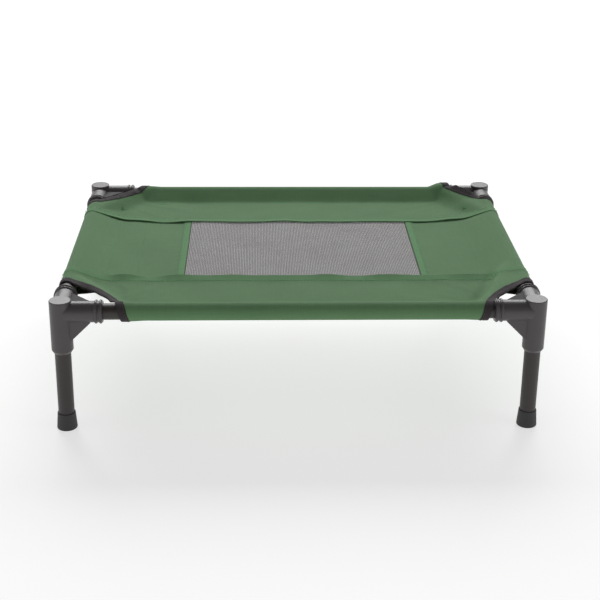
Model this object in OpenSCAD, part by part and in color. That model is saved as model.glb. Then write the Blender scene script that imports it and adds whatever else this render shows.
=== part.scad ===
// Raised pet cot: four moulded corner connectors, four rails and four legs push together, and a fabric
// cover with a see-through middle is stretched over the rails by the sleeves along its edges.
// Millimetres, +Z up, +X along the long side, origin on the floor under the middle of the cot.

/* [Frame] */
// Distance between the leg axes along the long side
span_x = 592.3; // [560:0.1:660]
// Distance between the leg axes along the short side
span_y = 439.9; // [400:0.1:500]
// Height of the corner tops above the floor
frame_h = 177.8; // [165:0.1:260]
// Depth of the rail axes below the corner tops
rail_drop = 15.8; // [15:0.1:17]

/* [Tubes] */
// Outer diameter of the rails and legs
tube_d = 20.5; // [19:0.1:20.5]
// Wall thickness of the rails and legs
tube_wall = 0.8; // [0.6:0.1:2]
// Clearance on the radius between a tube and its socket
socket_clearance = 0.08; // [0.05:0.01:0.1]

/* [Corner connectors] */
// Diameter of the upright body
body_d = 27.4; // [26.5:0.1:30]
// Diameter of the two arms
arm_d = 26.8; // [26:0.1:28]
// Length of each arm from the upright axis to its mouth
arm_l = 52.5; // [50:0.5:55]
// Height of the upright body
body_h = 70.5; // [66:0.5:80]
// Depth of each rail socket behind the mouth of its arm
rail_socket = 35.5; // [30:0.5:36]
// Depth of the leg socket
leg_socket = 38.7; // [30:0.1:40]
// Diameter over the two bead rings round each arm
bead_d = 30; // [29:0.1:31]
// Thickness of the webs between the body and the arms
web_t = 15.6; // [10:0.1:17]
// Reach of the webs along the body and along the arms
web_reach = 36.9; // [30:0.1:40]

/* [Feet] */
// Height of the rubber feet
foot_h = 22.6; // [18:0.1:30]
// Diameter of a foot at the floor
foot_d = 26; // [24:0.1:30]
// Diameter of a foot at its rim
foot_rim_d = 22.8; // [22.5:0.1:24]
// Thickness of rubber under the leg
foot_sole = 3; // [2:0.5:6]

/* [Cover] */
// Thickness of the cloth
cloth_t = 1; // [0.8:0.1:1.5]
// Height of the lying surface above the floor
bed_z = 158; // [152:0.5:162]
// Outer radius of the sleeves round the rails
sleeve_r = 11.6; // [11.5:0.1:13]
// Distance from a short rail's axis to where the cover lies flat
slope_x = 44; // [35:1:48]
// Distance from a long rail's axis to where the cover lies flat
slope_y = 27; // [25:1:31]
// Depth of the sleeves on the short rails, from the rail's axis to their seam
seam_x = 48; // [48:1:120]
// Depth of the sleeves on the long rails, from the rail's axis to their seam
seam_y = 31; // [31:1:110]
// Distance of the strips' hems from the middle
hem_y = 103; // [90:1:105]
// Length of the see-through panel
mesh_l = 317; // [250:1:330]
// Offset of the see-through panel from the middle
mesh_shift = 8.5; // [-15:0.5:15]
// Radius of the corner openings in the cloth
opening_r = 65; // [65:0.5:70]
// Width of the tape that binds the corner openings
tape_w = 9; // [6:0.5:9]
// Gap between neighbouring pieces of cloth
cloth_gap = 0.2; // [0.1:0.1:0.5]

/* [Hidden] */
$fn = 96;
rail_z = frame_h - rail_drop;
socket_r = tube_d / 2 + socket_clearance;
body_low = frame_h - body_h;
rail_start = arm_l - rail_socket;
leg_top = body_low + leg_socket;
rim_round = 1.2;
mouth_chamfer = [2.4, 4];
bead_r = 1.8;
bead_at = [arm_l - 8.4, arm_l - 2.6];
end_gap = 0.1;
foot_round = 1.5;
foot_gap = 0.02;
pocket_end = 8;
sleeve_steps = 16;
half_x = span_x / 2;
half_y = span_y / 2;
far = span_x;

// Puts a piece made at the front left corner at the corner on side sx (left -1) and side sy (front -1).
module at_corner(sx, sy) {
    mirror([sx > 0 ? 1 : 0, 0, 0])
        mirror([0, sy > 0 ? 1 : 0, 0])
            translate([-half_x, -half_y, 0]) children();
}

// ---- Corner connectors ----

// The upright body: a rounded top rim, and a chamfer down to a thin mouth round the leg.
module upright() {
    r = body_d / 2;
    rotate_extrude()
        union() {
            translate([0, body_low + mouth_chamfer[1]])
                square([r, body_h - mouth_chamfer[1] - rim_round]);
            translate([0, frame_h - rim_round - 1]) square([r - rim_round, rim_round + 1]);
            translate([r - rim_round, frame_h - rim_round]) circle(rim_round, $fn = 32);
            polygon([
                [0, body_low], [r - mouth_chamfer[0], body_low], [r, body_low + mouth_chamfer[1]],
                [0, body_low + mouth_chamfer[1]]
            ]);
        }
}

// One arm along +X with its two bead rings.
module arm() {
    translate([0, 0, rail_z])
        rotate([0, 90, 0]) {
            cylinder(h = arm_l, d = arm_d);
            for (at = bead_at)
                translate([0, 0, at])
                    rotate_extrude() translate([bead_d / 2 - bead_r, 0]) circle(bead_r, $fn = 24);
        }
}

// A 45 degree web filling the angle between +X and -Y.
module web() {
    outer = arm_d / 2 + web_reach - body_d / 2;
    linear_extrude(web_t, center = true)
        polygon([[4, 0], [web_reach, 0], [web_reach, -arm_d / 2 + 1], [body_d / 2 - 1, -outer], [4, -outer]]);
}

module connector() {
    color("#3d393a")
        difference() {
            union() {
                upright();
                arm();
                mirror([1, -1, 0]) arm();
                translate([0, 0, rail_z]) {
                    rotate([90, 0, 0]) web();
                    mirror([1, -1, 0]) rotate([90, 0, 0]) web();
                    mirror([0, 1, 0]) web();
                }
            }
            translate([0, 0, body_low - 1]) cylinder(h = leg_socket + 1, r = socket_r);
            for (side = [0, 1])
                mirror([side, -side, 0])
                    translate([rail_start, 0, rail_z])
                        rotate([0, 90, 0]) cylinder(h = rail_socket + 5, r = socket_r);
        }
}

module front_left_connector() { at_corner(-1, -1) connector(); }
module front_right_connector() { at_corner(1, -1) connector(); }
module back_left_connector() { at_corner(-1, 1) connector(); }
module back_right_connector() { at_corner(1, 1) connector(); }

// ---- Rails and legs ----

module tube(length) {
    difference() {
        cylinder(h = length, d = tube_d);
        translate([0, 0, -1]) cylinder(h = length + 2, d = tube_d - 2 * tube_wall);
    }
}

// A rail along X, centred, at distance y from the middle.
module long_rail(y) {
    length = span_x - 2 * (rail_start + end_gap);
    color("#35302e") translate([-length / 2, y, rail_z]) rotate([0, 90, 0]) tube(length);
}

// A rail along Y, centred, at distance x from the middle.
module short_rail(x) {
    length = span_y - 2 * (rail_start + end_gap);
    color("#35302e") translate([x, length / 2, rail_z]) rotate([90, 0, 0]) tube(length);
}

module front_rail() { long_rail(-half_y); }
module back_rail() { long_rail(half_y); }
module left_rail() { short_rail(-half_x); }
module right_rail() { short_rail(half_x); }

module leg() {
    color("#35302e") translate([0, 0, foot_sole + foot_gap]) tube(leg_top - end_gap - foot_sole - foot_gap);
}

module front_left_leg() { at_corner(-1, -1) leg(); }
module front_right_leg() { at_corner(1, -1) leg(); }
module back_left_leg() { at_corner(-1, 1) leg(); }
module back_right_leg() { at_corner(1, 1) leg(); }

// ---- Feet ----

// A flared rubber cup that the leg stands in.
module foot() {
    color("#3b3b3d")
        difference() {
            rotate_extrude()
                union() {
                    polygon([
                        [0, foot_round], [foot_d / 2, foot_round], [foot_rim_d / 2, foot_h - 0.6],
                        [foot_rim_d / 2 - 0.4, foot_h], [0, foot_h]
                    ]);
                    square([foot_d / 2 - foot_round, foot_round + 1]);
                    translate([foot_d / 2 - foot_round, foot_round]) circle(foot_round, $fn = 32);
                }
            translate([0, 0, foot_sole]) cylinder(h = foot_h, r = tube_d / 2 + foot_gap);
        }
}

module front_left_foot() { at_corner(-1, -1) foot(); }
module front_right_foot() { at_corner(1, -1) foot(); }
module back_left_foot() { at_corner(-1, 1) foot(); }
module back_right_foot() { at_corner(1, 1) foot(); }

// ---- Cover ----

// Outline of one sleeve across its rail, as [distance inwards from the rail's axis, height]. It starts flat
// at the seam, rises on a tangent to the rail, goes round it, and comes back underneath to the seam.
function sleeve_outline(r, slope, seam, top, bottom) =
    let (
        rise = asin(r / norm([slope, rail_z - top])) + atan((rail_z - top) / slope),
        fall = asin(r / norm([seam, rail_z - bottom])) - atan((rail_z - bottom) / seam),
        from = 90 - rise,
        to = 270 + fall
    )
    concat(
        [[seam, bottom], [seam, top], [slope, top]],
        [for (i = [0 : sleeve_steps])
            let (a = from + (to - from) * i / sleeve_steps) [r * cos(a), rail_z + r * sin(a)]]
    );

// The space inside all four sleeves, taken in by inset from their outer faces.
module sleeves(inset) {
    r = sleeve_r - inset;
    top = bed_z - inset;
    bottom = bed_z - 2 * cloth_t + inset * 0.98;
    for (side = [0, 1]) {
        mirror([side, 0, 0])
            translate([-half_x, half_y - pocket_end, 0])
                rotate([90, 0, 0])
                    linear_extrude(span_y - 2 * pocket_end)
                        polygon(sleeve_outline(r, slope_x, seam_x - inset, top, bottom));
        mirror([0, side, 0])
            translate([pocket_end - half_x, -half_y, 0])
                rotate([90, 0, 90])
                    linear_extrude(span_x - 2 * pocket_end)
                        polygon(sleeve_outline(r, slope_y, seam_y - inset, top, bottom));
    }
}

// A flat box between two x and two y values, at the lying surface or over the whole height.
module box(x0, x1, y0, y1, z0, z1) {
    translate([x0, y0, z0]) cube([x1 - x0, y1 - y0, z1 - z0]);
}

// The whole cover before its corners are cut: the sleeves' cloth and the flat cloth between their seams.
module cover_cloth() {
    difference() {
        sleeves(0);
        sleeves(cloth_t);
    }
    flat_x = half_x - seam_x + cloth_t;
    flat_y = half_y - seam_y + cloth_t;
    box(-flat_x, flat_x, -flat_y, flat_y, bed_z - cloth_t, bed_z);
}

// A round column over a corner, which cuts the opening for the connector.
module corner_column(r) {
    translate([0, 0, body_low]) cylinder(h = body_h, r = r);
}

// The front strip, with the front rail's sleeve and the ends that lie over the short rails.
module strip() {
    color("#4f7a4e")
        difference() {
            intersection() {
                cover_cloth();
                box(-far, far, -far, -hem_y, 0, frame_h);
            }
            for (side = [-1, 1]) at_corner(side, -1) corner_column(opening_r);
        }
}

// The cloth between the strips' hems, from x0 to x1.
module middle_piece(x0, x1) {
    intersection() {
        cover_cloth();
        box(x0, x1, cloth_gap - hem_y, hem_y - cloth_gap, 0, frame_h);
    }
}

// The tape round one corner opening: over both layers of cloth and round both sleeves' ends.
module binding(sx, sy) {
    color("#3f3b3b")
        intersection() {
            cover_cloth();
            at_corner(sx, sy)
                difference() {
                    corner_column(opening_r - cloth_gap);
                    translate([0, 0, -1]) corner_column(opening_r - tape_w);
                    translate([0, 0, 1]) corner_column(opening_r - tape_w);
                }
        }
}

module front_strip() { strip(); }
module back_strip() { mirror([0, 1, 0]) strip(); }
module left_panel() { color("#5f8a5d") middle_piece(-far, mesh_shift - mesh_l / 2 - cloth_gap); }
module right_panel() { color("#5f8a5d") middle_piece(mesh_shift + mesh_l / 2 + cloth_gap, far); }
module mesh_panel() { color("#8f8b8b") middle_piece(mesh_shift - mesh_l / 2, mesh_shift + mesh_l / 2); }
module front_left_binding() { binding(-1, -1); }
module front_right_binding() { binding(1, -1); }
module back_left_binding() { binding(-1, 1); }
module back_right_binding() { binding(1, 1); }

front_left_connector();
front_right_connector();
back_left_connector();
back_right_connector();
front_rail();
back_rail();
left_rail();
right_rail();
front_left_leg();
front_right_leg();
back_left_leg();
back_right_leg();
front_left_foot();
front_right_foot();
back_left_foot();
back_right_foot();
front_strip();
back_strip();
left_panel();
right_panel();
mesh_panel();
front_left_binding();
front_right_binding();
back_left_binding();
back_right_binding();
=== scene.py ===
import math

import bpy
import numpy as np
from mathutils import Matrix, Vector


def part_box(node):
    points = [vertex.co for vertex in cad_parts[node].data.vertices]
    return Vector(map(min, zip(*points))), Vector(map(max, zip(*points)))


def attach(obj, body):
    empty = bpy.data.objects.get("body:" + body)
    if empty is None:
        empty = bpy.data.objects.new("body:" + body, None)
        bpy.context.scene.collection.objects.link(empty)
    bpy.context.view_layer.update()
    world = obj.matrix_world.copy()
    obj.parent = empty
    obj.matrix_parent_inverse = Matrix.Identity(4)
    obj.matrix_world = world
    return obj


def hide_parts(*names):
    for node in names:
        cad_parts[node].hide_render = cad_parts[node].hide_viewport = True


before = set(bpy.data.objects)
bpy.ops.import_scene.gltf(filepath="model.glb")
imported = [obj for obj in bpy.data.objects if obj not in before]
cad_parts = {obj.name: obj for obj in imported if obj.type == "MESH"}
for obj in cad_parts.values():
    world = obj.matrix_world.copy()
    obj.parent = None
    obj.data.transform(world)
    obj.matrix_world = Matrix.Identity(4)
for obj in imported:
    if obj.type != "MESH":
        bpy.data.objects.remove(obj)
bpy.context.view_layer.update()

# Sizes taken from the CAD frame, in metres
half_x = (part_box("right_rail")[0].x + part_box("right_rail")[1].x) / 2
half_y = (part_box("back_rail")[0].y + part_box("back_rail")[1].y) / 2
rail_z = (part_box("front_rail")[0].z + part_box("front_rail")[1].z) / 2
tube_r = (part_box("front_rail")[1].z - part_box("front_rail")[0].z) / 2
sleeve_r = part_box("back_strip")[1].y - half_y
bed_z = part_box("mesh_panel")[1].z
hem_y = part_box("back_strip")[0].y
mesh_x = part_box("mesh_panel")[0].x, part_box("mesh_panel")[1].x
cut_x, cut_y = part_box("back_right_binding")[0].x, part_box("back_right_binding")[0].y

# Sizes of the cover, in metres: cloth thickness, and half of it
CLOTH = .0007
BASE = CLOTH / 2
# Width of the folded binding tape, and from a strip's folded edge to its row of stitches
TAPE = .0105
HEM = .0137
# From a short rail and from a long rail to where the cover leaves the bed and climbs, and to where its lower
# end is sewn back
SLOPE = .044, .027
SEAM = .048, .031
# How far the side panels and the see-through panel run on under the strips, and the latter under the panels
PANEL_UNDER = .012
MESH_UNDER = .011
MESH_SIDE = .008
# From a side panel's folded edge to its stitches, and from the tape's inner edge out to the cloth's cut edge
PANEL_HEM = .0085
CUT_INSET = .0065
# How far short of the end of its section each piece of cloth stops
END_GAP = .0006


# ---- Shape of the cover ----

def gaussian(reach_steps, step, width):
    """Weights of a bell curve of this width, up to so many steps each way."""
    kernel = np.exp(-.5 * (np.arange(-reach_steps, reach_steps + 1) * step / width) ** 2)
    return kernel / kernel.sum()


def blurred(line, kernel):
    """A line of values softened by a kernel, with its two ends kept."""
    return np.convolve(np.pad(line, len(kernel) // 2, mode="reflect", reflect_type="odd"), kernel, "valid")


def profile(half, slope, seam, crease):
    """The cover's section over one rail: running length, distance from the middle, height, top and end.

    It runs flat over the bed, up the slope, round the rail and back to the seam. Its bends are then softened,
    a little everywhere, and by crease at the foot of the slope.
    """
    step = .0004
    reach_steps = 60
    r = sleeve_r - BASE
    up = rail_z - bed_z + BASE
    low = rail_z - bed_z + .0012
    rise = math.asin(r / math.hypot(slope, up)) + math.atan(up / slope)
    fall = math.asin(r / math.hypot(seam, low)) - math.atan(low / seam)
    turn = np.linspace(math.pi / 2 - rise, math.pi * 1.5 + fall, 90)
    out = half - np.concatenate([[half, slope], r * np.cos(turn), [seam]])
    height = np.concatenate([[0, 0], r * np.sin(turn) + up, [up - low]])
    run = np.concatenate([[0], np.cumsum(np.hypot(np.diff(out), np.diff(height)))])
    fine = np.arange(0, run[-1], step)
    out, height = np.interp(fine, run, out), np.interp(fine, run, height)
    for width, reach in ((.0012, 1e9), (crease, crease * 2.6)):
        kernel = gaussian(reach_steps, step, width)
        share = np.clip(1.6 - np.abs(fine - half + slope) / reach, 0, 1)
        out, height = (line + share * (blurred(line, kernel) - line) for line in (out, height))
    return fine, out, height, fine[np.argmax(height)], run[-1]


RUN_X, OUT_X, RISE_X, TOP_X, END_X = profile(half_x, SLOPE[0], SEAM[0], .006)
RUN_Y, OUT_Y, RISE_Y, TOP_Y, END_Y = profile(half_y, SLOPE[1], SEAM[1], .0022)

# Where the fold round each corner leaves the short side's crease and the long side's crease
FOLDS = {(-1, -1): (.140, .216), (1, -1): (.112, .221), (-1, 1): (.152, .226), (1, 1): (.146, .226)}
# Each corner's opening in the flat cloth: how much further from the middle than in the frame it crosses the
# long rail and the short rail, how far it bows in between, and to which side the bow leans
CUTS = {
    (-1, -1): (-.013, -.015, .016, -.9),
    (1, -1): (.001, -.011, .011, -.6),
    (-1, 1): (-.010, -.003, .009, 1.4),
    (1, 1): (.004, .007, .011, 0),
}
# How much closer to the middle the cut runs under the long rails and under the short ones
UNDER = .009, .008
# How far the cover's edge stands off beside the short rail and on the long rail at each corner: at the back
# right it has ridden up over the connector's collar
STAND = {(-1, -1): (.0005, .0008), (1, -1): (.0005, .0006), (-1, 1): (.0005, .0012), (1, 1): (.0007, .0062)}
# How far the taped edge curls, down at the front and up at the back
CURL = {(-1, -1): -.0030, (1, -1): -.0020, (-1, 1): .0012, (1, 1): .0056}
# Where the machine has tacked the seams
TACKS = (-.212, -.109), (.262, -.111), (-.255, .154), (.263, .147)
# Folds drawn in from the long crease to a tack: start, end, depth
VALLEYS = ((.222, -.193), (.264, -.100), .0052), ((-.226, -.188), (-.236, -.128), .0010)


def ease(q):
    """0 below 0, 1 above 1, and a soft S in between."""
    q = np.clip(q, 0, 1)
    return q * q * (3 - 2 * q)


def bell(q, width):
    return np.exp(-(q / width) ** 2)


def step_down(q, soft):
    """1 below 0 and 0 above it, with a soft step between."""
    return 1 / (1 + np.exp(q / soft))


def run_along(points):
    """Distance along a line of points (one row each), starting from 0."""
    return np.concatenate([[0], np.cumsum(np.hypot(*np.diff(points, axis=0).T))])


def ripple(s, t, seed, length, amount, along=None):
    """Irregular waves about this long and this high, everywhere or mostly across one direction."""
    rng = np.random.default_rng(seed)
    total = 0
    for _ in range(8):
        a = rng.uniform(0, math.tau) if along is None else along + rng.normal(0, .22)
        k = math.tau / (length * rng.uniform(.7, 1.6))
        total = total + np.sin((s * math.cos(a) + t * math.sin(a)) * k + rng.uniform(0, math.tau))
    return amount * total / 3


def opening(corner):
    """The tape's inner edge round one corner in the flat cloth, as points from the long rail to the short."""
    further_x, further_y, bow, lean = CUTS[corner]
    long_top, side_top = cut_x + further_x, cut_y + further_y
    long_low, side_low = long_top - UNDER[0], side_top - UNDER[1]
    a, b = np.array([long_top, TOP_Y]), np.array([TOP_X, side_top])
    inward = np.array([b[1] - a[1], a[0] - b[0]]) / np.hypot(*(b - a))
    middle = [
        a + (b - a) * q + inward * bow * 4 * q * (1 - q) * (1 + lean * (q - .5))
        for q in (.15, .35, .5, .65, .85)
    ]
    corners = np.array([
        (long_low, END_Y), (long_low, TOP_Y + .03), ((long_low + long_top) / 2, TOP_Y + .014), a, *middle, b,
        (TOP_X + .014, (side_top + side_low) / 2), (TOP_X + .03, side_low), (END_X, side_low),
    ])
    run = run_along(corners)
    step = .002
    even = np.linspace(0, run[-1], int(run[-1] / step))
    kernel = gaussian(12, step, .007)
    return np.stack([blurred(np.interp(even, run, corners[:, k]), kernel) for k in (0, 1)], 1)


def side_of(path):
    """Unit directions in the flat cloth from each point of a path towards the corner."""
    along = np.gradient(path, axis=0)
    return np.stack([-along[:, 1], along[:, 0]], 1) / np.hypot(*along.T)[:, None]


OPENINGS = {c: opening(c) for c in CUTS}


def nearest(path, u, v):
    """Distance of points u, v from the path, positive away from the corner, and the path's nearest point."""
    best = np.full(u.shape, 1e9)
    far, nu, nv = np.zeros_like(best), np.zeros_like(best), np.zeros_like(best)
    for a, b in zip(path[:-1], path[1:]):
        d = b - a
        q = np.clip(((u - a[0]) * d[0] + (v - a[1]) * d[1]) / (d @ d), 0, 1)
        pu, pv = a[0] + d[0] * q, a[1] + d[1] * q
        gap = np.hypot(u - pu, v - pv)
        closer = gap < best
        side = np.where(d[0] * (v - a[1]) - d[1] * (u - a[0]) > 0, -1, 1)
        best = np.where(closer, gap, best)
        far = np.where(closer, gap * side, far)
        nu, nv = np.where(closer, pu, nu), np.where(closer, pv, nv)
    return far, nu, nv


def cover_point(s, t):
    """Middle of the cloth at s along the long side and t along the short side of the flat cover."""
    s, t = np.broadcast_arrays(np.asarray(s, float), np.asarray(t, float))
    u, v = np.abs(s), np.abs(t)
    x, y = np.interp(u, RUN_X, OUT_X), np.interp(v, RUN_Y, OUT_Y)
    rise = np.interp(u, RUN_X, RISE_X) + np.interp(v, RUN_Y, RISE_Y)
    lift = np.zeros_like(x)
    for (side, end), (fold_y, fold_x) in FOLDS.items():
        here = (np.sign(s) == side) & (np.sign(t) == end)
        a, b = (half_x - SLOPE[0], fold_y), (fold_x, half_y - SLOPE[1])
        n = np.array([b[1] - a[1], a[0] - b[0]]) / math.hypot(b[1] - a[1], a[0] - b[0])
        beyond = (x - a[0]) * n[0] + (y - a[1]) * n[1]
        ramp = .37 * (beyond + np.hypot(beyond, .006))
        ramp = .0145 - .0022 * np.logaddexp(0, (.0145 - ramp) / .0022)
        extra = np.maximum(ramp, 0) - rise
        extra = .5 * (extra + np.hypot(extra, .0015)) - .00075
        fade = np.clip((TOP_X + .004 - u) / .008, 0, 1) * np.clip((TOP_Y + .004 - v) / .008, 0, 1)
        lift = np.where(here, np.maximum(extra, 0) * fade, lift)
    return np.stack([np.sign(s) * x, np.sign(t) * y, bed_z - BASE + rise + lift], -1)


def cover_normal(s, t):
    """Direction out of the cloth's upper face."""
    e = .0005
    n = np.cross(cover_point(s + e, t) - cover_point(s - e, t), cover_point(s, t + e) - cover_point(s, t - e))
    return n / np.maximum(np.linalg.norm(n, axis=-1, keepdims=True), 1e-12)


def relief(s, t):
    """Small unevenness of the stretched cloth: slack in the bed and drag lines from the corners."""
    u, v = np.abs(s), np.abs(t)
    bed = np.clip((TOP_X - .012 - u) / .04, 0, 1) * np.clip((TOP_Y - .012 - v) / .02, 0, 1)
    high = ripple(s, t, 3, .11, .0005) + ripple(s, t, 4, .045, .00016)
    for n, (side, end) in enumerate(FOLDS):
        away_x, away_y = half_x - side * s, half_y - end * t
        angle, reach = np.arctan2(away_y, away_x), np.hypot(away_x, away_y)
        drag = np.sin(angle * 23 + n * 2.1) + .6 * np.sin(angle * 41 + n)
        high = high + .00012 * drag * bell(reach - .115, .05)
    for x, y in TACKS:
        away = np.hypot(s - x, t - y)
        high = high - .0003 * bell(away, .006) + .0002 * bell(away - .011, .005)
    for (x, y), (to_x, to_y), deep in VALLEYS:
        length = math.hypot(to_x - x, to_y - y)
        along = ((s - x) * (to_x - x) + (t - y) * (to_y - y)) / length ** 2
        off = ((s - x) * (to_y - y) - (t - y) * (to_x - x)) / length
        off = off - .004 * np.sin(along * 3)
        width = np.where(off < 0, .0078, .0052)
        high = high - deep * bell(off, width) * ease(along / .3 + .2) * ease((1.12 - along) / .3)
    return high * bed


def hem_shift(s, t):
    """How much further out the back hem runs beside the short rails than beside the see-through panel."""
    beside_rail = ease((np.abs(s) - .19) / .07)
    near_hem = ease((np.abs(t) - .045) / .05) * ease((hem_y + .06 - np.abs(t)) / .04)
    return np.where(t > 0, .009 * beside_rail * near_hem, 0)


def stand_off(s, t):
    """How far the cloth near its cut edges stands off the rails."""
    total = 0
    for corner, path in OPENINGS.items():
        here = (np.sign(s) == corner[0]) & (np.sign(t) == corner[1])
        far, _, _ = nearest(path, np.abs(s), np.abs(t))
        along = np.clip((np.abs(t) - .17) / .05, 0, 1)
        high = STAND[corner][0] + (STAND[corner][1] - STAND[corner][0]) * along
        total = total + np.where(here, high * ease(1 - far / .02), 0)
        free = ease((TOP_X - .009 - np.abs(s)) / .016) * ease((TOP_Y - .007 - np.abs(t)) / .014)
        total = total + np.where(here, CURL[corner] * np.clip(.1 - far / TAPE, 0, 1.1) ** 1.4 * free, 0)
    return total


def place(s, t, high):
    """Points at a height above the middle of the cloth."""
    high = np.asarray(high) + relief(s, t) + stand_off(s, t)
    return cover_point(s, t) + cover_normal(s, t) * high[..., None]


# ---- Meshes ----

def add_object(name, data):
    """A new object in the scene that shows this mesh, lamp or camera."""
    made = bpy.data.objects.new(name, data)
    bpy.context.scene.collection.objects.link(made)
    return made


def add_mesh(name, vertices, faces, material, uv=None, smooth=True):
    """An object from arrays of vertices and faces, with uv given for each vertex."""
    mesh = bpy.data.meshes.new(name)
    mesh.from_pydata(np.asarray(vertices).tolist(), [], [list(map(int, f)) for f in faces])
    mesh.materials.append(material)
    mesh.polygons.foreach_set("use_smooth", [smooth] * len(mesh.polygons))
    if uv is not None:
        corner_vertex = np.zeros(len(mesh.loops), np.int32)
        mesh.loops.foreach_get("vertex_index", corner_vertex)
        layer = mesh.uv_layers.new(name="Weave")
        layer.data.foreach_set("uv", np.asarray(uv)[corner_vertex].astype(np.float32).ravel())
    mesh.update()
    return add_object(name, mesh)


def cloth(name, s_lines, t_lines, top, bottom, material, ply):
    """A closed piece of cloth over the flat grid, cut at the corner openings.

    top, bottom and ply are functions of s and t: the heights of the two faces, and how far the colour is that
    of doubled cloth.
    """
    s, t = np.meshgrid(s_lines, t_lines, indexing="ij")
    straight = t.copy()
    s, t = s.copy(), t + hem_shift(s, t)
    cells = np.ones((s.shape[0] - 1, s.shape[1] - 1), bool)
    for corner, path in OPENINGS.items():
        here = (np.sign(s) == corner[0]) & (np.sign(t) == corner[1])
        if not here.any():
            continue
        edge = path + side_of(path) * CUT_INSET
        far, nu, nv = nearest(edge, np.abs(s), np.abs(t))
        far = np.where(here, far, 1)
        mean = (far[:-1, :-1] + far[1:, :-1] + far[:-1, 1:] + far[1:, 1:]) / 4
        cells &= mean > 0
        kept = np.zeros(s.shape, int)
        for i in (0, 1):
            for j in (0, 1):
                kept[i:i + cells.shape[0], j:j + cells.shape[1]] += cells
        moved = here & (np.abs(far) < .006) & (kept > 0) & (kept < 4)
        moved[0, :] = moved[-1, :] = moved[:, 0] = moved[:, -1] = False
        s = np.where(moved, corner[0] * nu, s)
        t = np.where(moved, corner[1] * nv, t)
    upper, lower = place(s, t, top(s, straight)), place(s, t, bottom(s, straight))
    count = s.size
    index = np.arange(count).reshape(s.shape)
    quad = np.stack([index[:-1, :-1], index[1:, :-1], index[1:, 1:], index[:-1, 1:]], -1)[cells]
    ends = np.concatenate([quad[:, [k, (k + 1) % 4]] for k in range(4)])
    key = ends[:, 0] * count + ends[:, 1]
    alone = ~np.isin(key, ends[:, 1] * count + ends[:, 0])
    rim = ends[alone]
    walls = np.stack([rim[:, 1], rim[:, 0], rim[:, 0] + count, rim[:, 1] + count], -1)
    faces = np.concatenate([quad, quad[:, ::-1] + count, walls])
    used = np.unique(faces)
    renumber = np.zeros(count * 2, int)
    renumber[used] = np.arange(len(used))
    vertices = np.concatenate([upper.reshape(-1, 3), lower.reshape(-1, 3)])[used]
    flat = np.stack([s, t], -1).reshape(-1, 2)
    made = add_mesh(name, vertices, renumber[faces], material, np.concatenate([flat, flat])[used])
    plies = np.tile(ply(s, straight).ravel(), 2)[used].astype(np.float32)
    made.data.attributes.new("ply", "FLOAT", "POINT").data.foreach_set("value", plies)
    return made


def lines(start, stop, step, extra=()):
    """Grid lines from start to stop, with extra ones at folds and hems in place of those close to them."""
    even = np.linspace(start, stop, max(2, int(abs(stop - start) / step) + 1))
    extra = [e for e in extra if min(start, stop) < e < max(start, stop)]
    even = [e for e in even if all(abs(e - x) > step * .35 for x in extra) or e in (start, stop)]
    return np.array(sorted(set([*even, *extra])))


def tape(name, corner, material):
    """Binding folded over the cut edge of one corner opening, from one lower seam to the other."""
    path = OPENINGS[corner]
    out = side_of(path)
    run = run_along(path)
    thick, core = .0006, BASE + .00005
    upper = core + thick
    nose = [(TAPE - .001 + math.cos(a) * upper, math.sin(a) * upper) for a in np.linspace(1.2, -1.2, 6)]
    inner = [(TAPE - .001 + math.cos(a) * core, math.sin(a) * core) for a in np.linspace(-1.2, 1.2, 4)]
    section = np.array([
        (.0003, core), (0, core + thick * .5), (.0004, upper), (.0016, upper + .00002),
        (.0025, upper - .00012), (.0045, upper + .0001), (TAPE - .002, upper + .00005), *nose,
        (TAPE - .002, -upper), (.0045, -upper), (.0004, -upper), (0, -core - thick * .5), (.0003, -core),
        (.004, -core), *inner, (.004, core),
    ])
    wide = 1 + .05 * ripple(run, run * 0, 11 + corner[0] + 2 * corner[1], .03, 1, 0)
    w = section[None, :, 0] * wide[:, None]
    w = w - .0005 * ripple(run, run * 0, 5, .02, 1, 0)[:, None] * .5
    s = corner[0] * (path[:, None, 0] + out[:, None, 0] * w)
    t = corner[1] * (path[:, None, 1] + out[:, None, 1] * w)
    s, t = np.clip(s, -END_X + .001, END_X - .001), np.clip(t, -END_Y + .001, END_Y - .001)
    pucker = ripple(run, run * 0, 21 + corner[0], .009, .00013, 0)[:, None] * bell(section[:, 0] - .002, .003)
    points = place(s, t, section[None, :, 1] + pucker)
    rings, n = points.shape[:2]
    index = np.arange(rings * n).reshape(rings, n)
    nxt = np.roll(index, -1, 1)
    quad = np.stack([index[:-1], nxt[:-1], nxt[1:], index[1:]], -1).reshape(-1, 4)
    caps = [index[0].tolist(), index[-1][::-1].tolist()]
    if corner[0] * corner[1] > 0:
        quad, caps = quad[:, ::-1], [c[::-1] for c in caps]
    across = run_along(section)
    uv = np.stack(np.broadcast_arrays(run[:, None], across[None, :]), -1).reshape(-1, 2)
    return add_mesh(name, points.reshape(-1, 3), [*quad.tolist(), *caps], material, uv)


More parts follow.
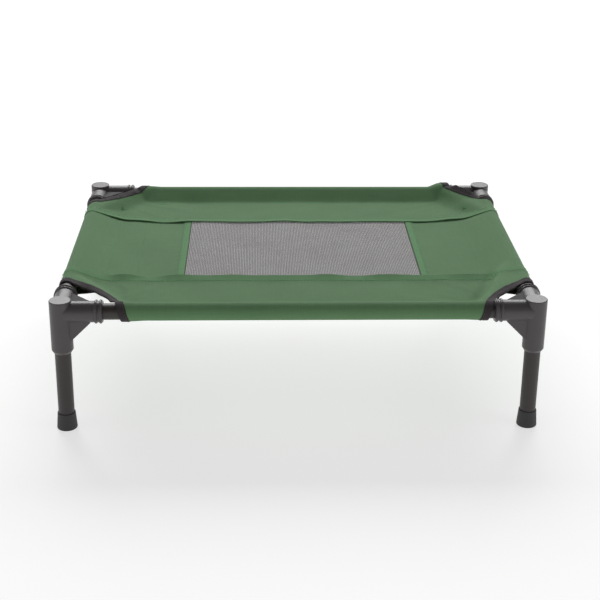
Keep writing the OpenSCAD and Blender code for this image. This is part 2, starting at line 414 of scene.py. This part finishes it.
def stitches(name, rows, material, length=.0029, gap=.0014, wide=.00036):
    """Sewing thread along rows of (s points, t points, height), as raised stitches with ends in the cloth."""
    arch = np.array([-.0002, .00012, .00012, -.0002])
    body = np.array([.5, 1, 1, .5])
    sides_round = 5
    ring = [(math.cos(a), math.sin(a)) for a in np.arange(sides_round) * math.tau / sides_round]
    vertices, faces, uvs = [], [], []
    for s_row, t_row, high in rows:
        run = np.concatenate([[0], np.cumsum(np.hypot(np.diff(s_row), np.diff(t_row)))])
        starts = np.arange(gap, run[-1] - length, length + gap)
        if not len(starts):
            continue
        q = starts[:, None] + np.linspace(0, length, len(arch))[None, :]
        s, t = np.interp(q, run, s_row), np.interp(q, run, t_row)
        ds, dt = np.interp(q + 1e-4, run, s_row) - s, np.interp(q + 1e-4, run, t_row) - t
        size = np.maximum(np.hypot(ds, dt), 1e-9)
        sides = np.stack([-dt / size, ds / size], -1)
        points = np.stack([
            place(s + sides[..., 0] * c * wide * body, t + sides[..., 1] * c * wide * body,
                  high + arch + z * wide * body)
            for c, z in ring
        ], 2)
        base = sum(len(v) for v in vertices)
        index = np.arange(points.size // 3).reshape(points.shape[:3]) + base
        nxt = np.roll(index, -1, 2)
        faces += np.stack([index[:, :-1], index[:, 1:], nxt[:, 1:], nxt[:, :-1]], -1).reshape(-1, 4).tolist()
        faces += index[:, 0].tolist() + index[:, -1, ::-1].tolist()
        vertices.append(points.reshape(-1, 3))
        across = np.arange(sides_round) * .001
        uvs.append(np.stack(np.broadcast_arrays(q[..., None], across), -1).reshape(-1, 2))
    return add_mesh(name, np.concatenate(vertices), faces, material, np.concatenate(uvs))


# ---- Materials ----

def material(name, base, roughness):
    """A new Principled material and helpers to wire it."""
    made = bpy.data.materials.new(name)
    made.use_nodes = True
    tree = made.node_tree
    shader = tree.nodes["Principled BSDF"]
    shader.inputs["Base Color"].default_value = (*base, 1)
    shader.inputs["Roughness"].default_value = roughness

    def node(kind, **sockets):
        n = tree.nodes.new(kind)
        for key, value in sockets.items():
            socket = n.inputs[int(key[1:]) if key[0] == "i" and key[1:].isdigit() else key.replace("_", " ")]
            if isinstance(value, bpy.types.NodeSocket):
                tree.links.new(value, socket)
            else:
                socket.default_value = value
        return n

    def maths(kind, a, b=0.0):
        n = node("ShaderNodeMath", i0=a, i1=b)
        n.operation = kind
        return n.outputs[0]

    def mix(share, a, b):
        n = tree.nodes.new("ShaderNodeMix")
        n.data_type = "RGBA"
        for socket, value in zip((n.inputs[0], n.inputs[6], n.inputs[7]), (share, a, b)):
            if isinstance(value, bpy.types.NodeSocket):
                tree.links.new(value, socket)
            else:
                socket.default_value = value if isinstance(value, float) else (*value, 1)
        return n.outputs[2]

    return made, tree, shader, node, maths, mix


def bump(tree, node, shader, height, strength, distance):
    n = node("ShaderNodeBump", Height=height, Strength=strength, Distance=distance)
    tree.links.new(n.outputs[0], shader.inputs["Normal"])


def woven(name, colour, deep, fresh, pitch, roughness=.85, sheen=.05, strength=.5):
    """Plain-woven cloth whose threads follow the flat cloth's coordinates."""
    made, tree, shader, node, maths, mix = material(name, colour, roughness)
    uv = node("ShaderNodeUVMap")
    uv.uv_map = "Weave"
    parts = node("ShaderNodeSeparateXYZ", Vector=uv.outputs[0])
    threads = []
    for axis in (0, 1):
        turn = maths("MULTIPLY", parts.outputs[axis], math.pi / pitch)
        threads.append((maths("ABSOLUTE", maths("SINE", turn)), maths("SINE", turn)))
    over = maths("MULTIPLY", threads[0][1], threads[1][1])
    over = maths("ADD", maths("MULTIPLY", over, .5), .5)
    high = maths("ADD", maths("MULTIPLY", threads[0][0], over),
                 maths("MULTIPLY", threads[1][0], maths("SUBTRACT", 1.0, over)))
    streaks = []
    for stretch in ((1, 40, 1), (40, 1, 1)):
        mapping = node("ShaderNodeMapping", Vector=uv.outputs[0], Scale=stretch)
        noise = node("ShaderNodeTexNoise", Vector=mapping.outputs[0], Scale=28.0, Detail=3.0)
        streaks.append(noise.outputs[0])
    streak = maths("MULTIPLY", maths("ADD", *streaks), .5)
    patch = node("ShaderNodeTexNoise", Vector=uv.outputs[0], Scale=9.0, Detail=4.0, Roughness=.6).outputs[0]
    tone = maths("ADD", maths("MULTIPLY", streak, .7), maths("MULTIPLY", patch, .3))
    tone = maths("MULTIPLY", maths("SUBTRACT", tone, .32), 2.8)
    shade = mix(tone, deep, colour)
    # Painted shade: the colour darkens where the threads dip between one another
    shade = mix(maths("MULTIPLY", maths("SUBTRACT", 1.0, high), .28), shade, tuple(c * .55 for c in deep))
    ply = node("ShaderNodeAttribute")
    ply.attribute_name = "ply"
    tree.links.new(mix(ply.outputs["Fac"], shade, fresh), shader.inputs["Base Color"])
    bump(tree, node, shader, high, strength, .00025)
    shader.inputs["Specular IOR Level"].default_value = .2
    shader.inputs["Sheen Weight"].default_value = sheen
    shader.inputs["Sheen Roughness"].default_value = .5
    return made


def moulded(name, colour, light, roughness, grain, depth, scale, matt_and_painted_shade=0, gloss=.5):
    """Plastic, rubber, powder coat or thread: a fine grain and slightly uneven gloss.

    matt_and_painted_shade makes what lies inside the rails rougher, and darkens its colour there as painted
    shade; on the connectors that is the web between the arms.
    """
    made, tree, shader, node, maths, mix = material(name, colour, roughness)
    place_at = node("ShaderNodeTexCoord").outputs["Object"]
    large = node("ShaderNodeTexNoise", Vector=place_at, Scale=scale, Detail=4.0, Roughness=.6).outputs[0]
    small = node("ShaderNodeTexNoise", Vector=place_at, Scale=grain, Detail=2.0, Roughness=.5).outputs[0]
    rough = maths("ADD", maths("MULTIPLY", large, .14), roughness - .07)
    tone = mix(large, colour, light)
    if matt_and_painted_shade:
        at = node("ShaderNodeSeparateXYZ", Vector=place_at)
        inside = []
        for axis, half in ((0, half_x), (1, half_y)):
            inward = maths("SUBTRACT", half - tube_r + .001, maths("ABSOLUTE", at.outputs[axis]))
            inside.append(maths("MULTIPLY", inward, 500))
        flat = maths("MAXIMUM", maths("MINIMUM", maths("MINIMUM", *inside), 1), 0)
        rough = maths("ADD", rough, maths("MULTIPLY", flat, matt_and_painted_shade))
        # Painted shade: the colour inside the rails, on the web between the connector's arms, is darkened
        # where it lies in shadow
        tone = mix(maths("MULTIPLY", flat, .6), tone, (.016, .014, .014))
    shader.inputs["Specular IOR Level"].default_value = gloss
    tree.links.new(tone, shader.inputs["Base Color"])
    tree.links.new(rough, shader.inputs["Roughness"])
    bump(tree, node, shader, small, .25, depth)
    return made


green = woven("Cover cloth", (.133, .258, .124), (.104, .208, .098), (.118, .276, .118), .0009)
dark_tape = woven("Binding tape", (.050, .042, .044), (.034, .028, .030), (.05, .045, .045), .0007,
                  roughness=.75, sheen=.04, strength=.6)
thread = moulded("Sewing thread", (.080, .310, .105), (.110, .390, .140), .6, 4000, .0001, 60)
dark_thread = moulded("Tape thread", (.035, .030, .031), (.060, .052, .053), .6, 4000, .0001, 60)
seam_thread = moulded("Seam thread", (.040, .070, .042), (.060, .100, .062), .6, 4000, .0001, 60)
yarn = moulded("Mesh yarn", (.216, .209, .209), (.252, .243, .243), .7, 2500, .0001, 25, gloss=.1)
plastic = moulded("Connector plastic", (.054, .047, .048), (.068, .060, .061), .36, 900, .00008, 14, .4)
coat = moulded("Powder coat", (.023, .016, .016), (.033, .0245, .0245), .42, 1500, .00006, 20)
rubber = moulded("Foot rubber", (.026, .024, .026), (.035, .033, .035), .62, 1100, .0001, 18)

FINISHES = {"connector": plastic, "foot": rubber, "leg": coat, "rail": coat}
for name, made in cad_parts.items():
    finish = FINISHES.get(name.split("_")[-1])
    if finish:
        made.data.materials.clear()
        made.data.materials.append(finish)

# ---- The cover ----

def hem_height(w, soft):
    """Height of a strip at w from its folded edge: doubled up to the end of the hem, with a groove."""
    fold = np.clip(w / CLOTH, 0, 1)
    over = step_down(w - .0152, soft)
    groove = .0003 * bell(w - HEM, .0012)
    return over * (.0013 - .0004 * (1 - fold) ** 2) - groove


def tack(centre, turn):
    """Two short bars of dense zigzag across each other, as the machine sews where a seam ends."""
    count, length, half_wide = 15, .010, .0009
    q = np.linspace(-.5, .5, count) * length
    zig = np.where(np.arange(count) % 2 == 0, -1, 1) * half_wide
    for angle in (turn, turn + math.pi / 2):
        s = centre[0] + q * math.cos(angle) - zig * math.sin(angle)
        t = centre[1] + q * math.sin(angle) + zig * math.cos(angle)
        yield s, t, BASE + .0002


def strip(name, end):
    """One long strip: the long rail's sleeve, the bed beside it, and the ends over the short rails."""
    # How far the hem's free edge lifts, how uneven that is, and how softly the hem ends
    lift, sway, soft = (.0012, .45, .0008) if end > 0 else (.0022, .6, .0026)

    def thinner(s):
        return 1 - .3 * ease((np.abs(s) - TOP_X + .045) / .03)

    def top(s, t):
        w = np.abs(t) - hem_y
        flap = np.clip(1 - w / .0125, 0, 1) ** 1.4
        rail = np.clip((TOP_X - .004 - np.abs(s)) / .03, 0, 1)
        pull = 1 + sway * ripple(s, t * 0, 31 + end, .07, 1, 0)
        pucker = ripple(s, t * 0, 37 + end, .011, .00022, 0) * bell(w - HEM, .006)
        return BASE + hem_height(w, soft) * thinner(s) + lift * flap * pull * rail + pucker

    def bottom(s, t):
        w = np.abs(t) - hem_y
        double = step_down(w - .0145, .0006)
        return top(s, t) - CLOTH - (.0006 + .0002 * np.clip(w / CLOTH, 0, 1)) * double * thinner(s)

    def ply(s, t):
        return .35 * (np.abs(t) - hem_y < HEM)

    marks = [end * (hem_y + w) for w in (0, .0002, .0005, .001, .012, .0132, .0137, .0142, .0155, .017)]
    bends = [end * (half_y - SLOPE[1] + d) for d in (-.002, -.001, 0, .001, .002, .003)]
    s_lines = lines(-END_X + END_GAP, END_X - END_GAP, .0025)
    t_lines = lines(*sorted((end * hem_y, end * (END_Y - END_GAP))), .0022, [*marks, *bends])
    made = cloth(name, s_lines, t_lines, top, bottom, green, ply)

    # Stitches: along the hem, along the crease beside the long rail, down both creases beside the short rails
    across = np.linspace(-END_X + .004, END_X - .004, 400)
    hem = across * 0 + end * (hem_y + HEM)
    crease = half_y - SLOPE[1] - .002
    seam = np.linspace(-.219, .219, 300)
    side = half_x - SLOPE[0] - .001
    down = np.linspace(hem_y + .026, .138, 60)
    rows = [
        (across, hem + hem_shift(across, hem), BASE + .0012),
        (seam, seam * 0 + end * crease, BASE),
        *((down * 0 + side * k, end * down, BASE) for k in (-1, 1)),
        *(bar for at in TACKS if at[1] * end > 0 for bar in tack(at, .7)),
    ]
    if end > 0:
        # A box-stitched mark beside the crease of the back strip
        box = np.array([(-1, -1), (1, -1), (1, 1), (-1, 1), (-1, -1)]) * (.0065, .0045)
        box = box + (-.198, crease - .0035)
        around = np.linspace(0, 4, 81)
        rows.append((*(np.interp(around, range(5), box[:, k]) for k in (0, 1)), BASE + .0001))
    sewn = stitches(name + "_stitches", rows, thread)
    return made, sewn


def panel(name, side):
    """The cloth between the strips from the see-through panel to the short rail, and that rail's sleeve."""
    edge = abs(mesh_x[0] if side < 0 else mesh_x[1])

    def top(s, t):
        w = np.abs(s) - edge
        over = step_down(w - .0098, .0006)
        groove = .0002 * bell(w - PANEL_HEM, .001)
        pucker = ripple(t, s * 0, 45 + side, .011, .00012, 0) * bell(w - PANEL_HEM, .005)
        return BASE + over * (.001 - .0003 * (1 - np.clip(w / CLOTH, 0, 1)) ** 2) - groove + pucker

    def bottom(s, t):
        w = np.abs(s) - edge
        return top(s, t) - CLOTH - .0004 * step_down(w - .0094, .0005)

    def ply(s, t):
        return .8 * (np.abs(s) - edge < .009)

    marks = [side * (edge + w) for w in (0, .0003, .0007, .0075, .0085, .0092, .0098, .0105, .012)]
    span = hem_y + PANEL_UNDER
    s_lines = lines(*sorted((side * edge, side * (END_X - END_GAP))), .0022, marks)
    made = cloth(name, s_lines, lines(-span, span, .0028), top, bottom, green, ply)

    # Stitches: along the hem and the crease, and on the left one more row between them
    down = np.linspace(-hem_y - .004, hem_y + .004, 120)
    rows = [
        (down * 0 + side * (edge + PANEL_HEM), down, BASE + .0008),
        (down * 0 + side * (half_x - SLOPE[0] - .001), down, BASE),
    ]
    if side < 0:
        rows.append((down * 0 - .213, down, BASE))
    return made, stitches(name + "_stitches", rows, thread)


def weave(name):
    """The see-through panel: thin yarns in both directions, each passing over one and under the next."""
    pitch, thick, half_wide = .0022, .00012, .00090
    x0, x1 = mesh_x[0] - MESH_SIDE, mesh_x[1] + MESH_SIDE
    y0, y1 = -hem_y - MESH_UNDER, hem_y + MESH_UNDER
    xs, ys = np.arange(x0, x1, pitch), np.arange(y0, y1, pitch)
    ring = [(math.cos(a), math.sin(a)) for a in (math.pi / 2, math.pi * 7 / 6, math.pi * 11 / 6)]
    vertices, faces = [], []
    base = 0
    for lengthways in (True, False):
        along, across = (ys, xs) if lengthways else (xs, ys)
        i, j = np.meshgrid(np.arange(len(across)), np.arange(len(along)), indexing="ij")
        wave = np.where((i + j) % 2 == 0, 1, -1) * (1 if lengthways else -1) * thick * .75
        drift = .00004 * ripple(across[i], along[j], 61 + lengthways, .02, 1)
        a, c = along[j], across[i] + drift
        s, t = (c, a) if lengthways else (a, c)
        centre = place(s, t, wave - .0001)
        n = cover_normal(s, t)
        sideways = np.array([1, 0, 0]) if lengthways else np.array([0, 1, 0])
        points = np.stack([centre + sideways * p * half_wide + n * q * thick for p, q in ring], 2)
        index = np.arange(points.shape[0] * points.shape[1] * 3).reshape(len(across), len(along), 3) + base
        nxt = np.roll(index, -1, 2)
        quads = np.stack([index[:, :-1], index[:, 1:], nxt[:, 1:], nxt[:, :-1]], -1).reshape(-1, 4)
        caps = np.concatenate([index[:, 0], index[:, -1, ::-1]])
        if not lengthways:
            quads, caps = quads[:, ::-1], caps[:, ::-1]
        faces += quads.tolist() + caps.tolist()
        vertices.append(points.reshape(-1, 3))
        base += points.size // 3
    points = np.concatenate(vertices)
    return add_mesh(name, points, faces, yarn, points[:, :2], smooth=False)


def corner_name(corner):
    return f"{'front' if corner[1] < 0 else 'back'}_{'left' if corner[0] < 0 else 'right'}_binding"


# Each piece of cloth with its stitches and the CAD solid that it stands for
strips = [(*strip("cover_" + name, end), name) for name, end in (("front_strip", -1), ("back_strip", 1))]
panels = [(*panel("cover_" + name, side), name) for name, side in (("left_panel", -1), ("right_panel", 1))]

# The see-through panel, with the seam thread just inside its side edges
net = weave("cover_mesh_panel")
down = np.linspace(-hem_y - .006, hem_y + .006, 160)
seam_rows = [(down * 0 + x - math.copysign(.0006, x), down, .00045) for x in mesh_x]
net_seam = stitches("cover_mesh_panel_seam", seam_rows, seam_thread, .0042, .0004, .0005)

# The binding tapes, with one row of stitches beside the inner edge
tapes = []
for corner, path in OPENINGS.items():
    name = corner_name(corner)
    made = tape("tape_" + name, corner, dark_tape)
    row = (path + side_of(path) * .0022)[2:-2]
    sewn = stitches(name + "_stitches", [(corner[0] * row[:, 0], corner[1] * row[:, 1], BASE + .00058)],
                    dark_thread, .0024, .001)
    tapes.append((made, sewn, name, corner))

for made, sewn, name in [*strips, *panels]:
    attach(made, "frame")
    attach(sewn, "frame")
    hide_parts(name)
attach(net, "frame")
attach(net_seam, "frame")
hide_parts("mesh_panel")
for made, sewn, name, corner in tapes:
    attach(made, "frame")
    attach(sewn, "frame")
    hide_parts(name)

for made, sewn, name, corner in tapes:
    float(run_along(OPENINGS[corner])[-1])

# ---- Floor, light and camera ----

FLOOR_REACH = 40
floor_mesh = bpy.data.meshes.new("floor")
corners = [(x * FLOOR_REACH, y * FLOOR_REACH, 0) for x, y in ((-1, -1), (1, -1), (1, 1), (-1, 1))]
floor_mesh.from_pydata(corners, [], [(0, 1, 2, 3)])
floor = add_object("floor", floor_mesh)
paper, tree, shader, node, maths, mix = material("Floor", (.5, .5, .5), .9)
at = node("ShaderNodeTexCoord").outputs["Object"]
spread = node("ShaderNodeTexNoise", Vector=at, Scale=1.5, Detail=2.0)
tree.links.new(mix(spread.outputs[0], (.495, .495, .496), (.505, .505, .504)), shader.inputs["Base Color"])
shader.inputs["Specular IOR Level"].default_value = 0
shader.inputs["Emission Color"].default_value = (1, 1, 1, 1)
shader.inputs["Emission Strength"].default_value = .62
floor_mesh.materials.append(paper)

# A studio sky: white at the horizon, grey overhead
SKY = (0, .97), (.11, .52), (.6, .14)
world = bpy.data.worlds.new("Studio")
bpy.context.scene.world = world
world.use_nodes = True
sky = world.node_tree
height = sky.nodes.new("ShaderNodeSeparateXYZ")
sky.links.new(sky.nodes.new("ShaderNodeTexCoord").outputs["Generated"], height.inputs[0])
fall = sky.nodes.new("ShaderNodeValToRGB")
sky.links.new(height.outputs[2], fall.inputs[0])
fall.color_ramp.elements.new(SKY[1][0])
for stop, (at, grey) in zip(fall.color_ramp.elements, SKY):
    stop.position, stop.color = at, (grey, grey, grey, 1)
sky.links.new(fall.outputs[0], sky.nodes["Background"].inputs[1])
sky.nodes["Background"].inputs[0].default_value = (1, 1, 1, 1)

LIT = (0, 0, .1)


def softbox(name, at, size, power):
    """A rectangular lamp, its size in metres and its power in watts, turned towards the cot."""
    lamp = bpy.data.lights.new(name, "AREA")
    lamp.shape, lamp.size, lamp.size_y, lamp.energy = "RECTANGLE", size[0], size[1], power
    made = add_object(name, lamp)
    made.location = at
    made.rotation_mode = "QUATERNION"
    made.rotation_quaternion = (Vector(LIT) - Vector(at)).to_track_quat("-Z", "Y")
    made.visible_camera = False


softbox("behind", (0, 5.0, 4.1), (6.4, 3.8), 420)
softbox("left", (-2.3, -1.0, .8), (1.6, 1.2), 5.5)
softbox("right", (2.3, -1.0, .8), (1.6, 1.2), 8.5)

# The camera at the photo's angle: where it stands, how far it turns right, down and over, its lens and shift
STAND_AT = Vector((-.0527, -1.6636, .8211))
YAW, PITCH, ROLL = 2.070, 21.340, .661
LENS, SENSOR, SHIFT = 76.41, 36, -.1

yaw, pitch, roll = (math.radians(a) for a in (YAW, PITCH, ROLL))
forward = Vector((math.sin(yaw) * math.cos(pitch), math.cos(yaw) * math.cos(pitch), -math.sin(pitch)))
right = Vector((math.cos(yaw), -math.sin(yaw), 0))
above = right.cross(forward)
across = right * math.cos(roll) + above * math.sin(roll)
upright = above * math.cos(roll) - right * math.sin(roll)
camera_data = bpy.data.cameras.new("Camera")
camera_data.lens, camera_data.sensor_width, camera_data.shift_y = LENS, SENSOR, SHIFT
camera = add_object("Camera", camera_data)
camera.matrix_world = Matrix.Translation(STAND_AT) @ Matrix((across, upright, -forward)).transposed().to_4x4()
bpy.context.scene.camera = camera
bpy.context.scene.view_settings.view_transform = "Standard"
